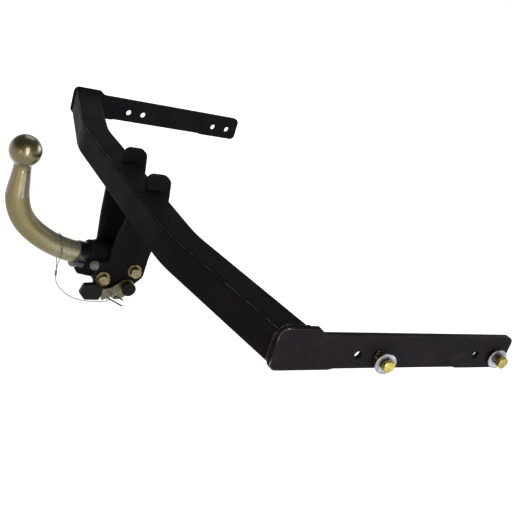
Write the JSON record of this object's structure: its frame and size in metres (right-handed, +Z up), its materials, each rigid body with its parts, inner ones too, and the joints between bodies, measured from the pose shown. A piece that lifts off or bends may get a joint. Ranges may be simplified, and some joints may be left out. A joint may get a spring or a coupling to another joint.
{
  "type": "towbar with a removable swan neck",
  "caption": "Car towbar: bent square cross beam on drilled side arms, with a removable ball neck locked by a side lever.",
  "frame": {"origin": "middle of the tow ball", "axes": "+X to the car's right, +Y forward under the car along the side arms, +Z up"},
  "size_m": [0.9887, 0.6305, 0.2633],
  "materials": {
    "frame_paint": "satin black paint",
    "neck_zinc": "yellow passivated zinc, satin",
    "lever_zinc": "yellow passivated zinc, satin",
    "bolt_zinc": "yellow passivated zinc, satin",
    "washer_zinc": "white zinc, satin",
    "black_plastic": "moulded black plastic",
    "white_plastic": "moulded white plastic",
    "bright_steel": "turned steel, oiled",
    "bush_bronze": "sintered bronze",
    "wire_steel": "bright steel wire"
  },
  "bodies": {
    "frame": {"cross_beam": "frame_paint", "right_arm": "frame_paint", "left_arm": "frame_paint", "right_beam_weld": "frame_paint", "left_beam_weld": "frame_paint", "right_side_plate": "frame_paint", "left_side_plate": "frame_paint", "right_plate_weld": "frame_paint", "left_plate_weld": "frame_paint", "receiver_block": "frame_paint", "mouth_ring": "black_plastic", "receiver_bolts": "bolt_zinc", "receiver_flat_washers": "bolt_zinc", "receiver_spring_washers": "bolt_zinc", "shaft_bushes": "bush_bronze", "end_plug": "white_plastic"},
    "neck": {"swan_neck": "neck_zinc", "lanyard_loop": "wire_steel", "lanyard_tail": "wire_steel", "lanyard_ferrule": "wire_steel"},
    "lever": {"locking_shaft": "bright_steel", "lock_cam": "bright_steel", "cam_pin": "bright_steel", "thrust_washer": "washer_zinc", "far_washer": "washer_zinc", "retaining_ring": "bright_steel", "lever_plate": "lever_zinc", "lever_grip": "black_plastic", "pivot_cap": "black_plastic"},
    "clip": {"safety_clip": "wire_steel", "clip_eye": "wire_steel"},
    "rear_bolt": {"rear_arm_bolt": "bolt_zinc", "rear_arm_washer": "washer_zinc"},
    "front_bolt": {"front_arm_bolt": "bolt_zinc", "front_arm_washer": "washer_zinc"}
  },
  "joints": [
    {"name": "lever_turn", "type": "hinge", "parent": "frame", "child": "lever", "pos_m": [0, 0.19441, -0.19846], "axis": [1, 0, 0], "range_deg": [0, 100]},
    {"name": "neck_slide", "type": "slide", "parent": "frame", "child": "neck", "axis": [0, -0.9848, 0.1736], "range_m": [0, 0.022]},
    {"name": "clip_slide", "type": "slide", "parent": "lever", "child": "clip", "axis": [-0.9187, -0.3695, -0.1398], "range_m": [0, 0.034]},
    {"name": "rear_bolt_slide", "type": "slide", "parent": "frame", "child": "rear_bolt", "axis": [1, 0, 0], "range_m": [-0.014, 0.026]},
    {"name": "front_bolt_slide", "type": "slide", "parent": "frame", "child": "front_bolt", "axis": [1, 0, 0], "range_m": [-0.0051, 0.03]}
  ],
  "couplings": [
    {"joint": "lever_turn", "follows": "neck_slide", "rad_per_m": 79.33}
  ]
}
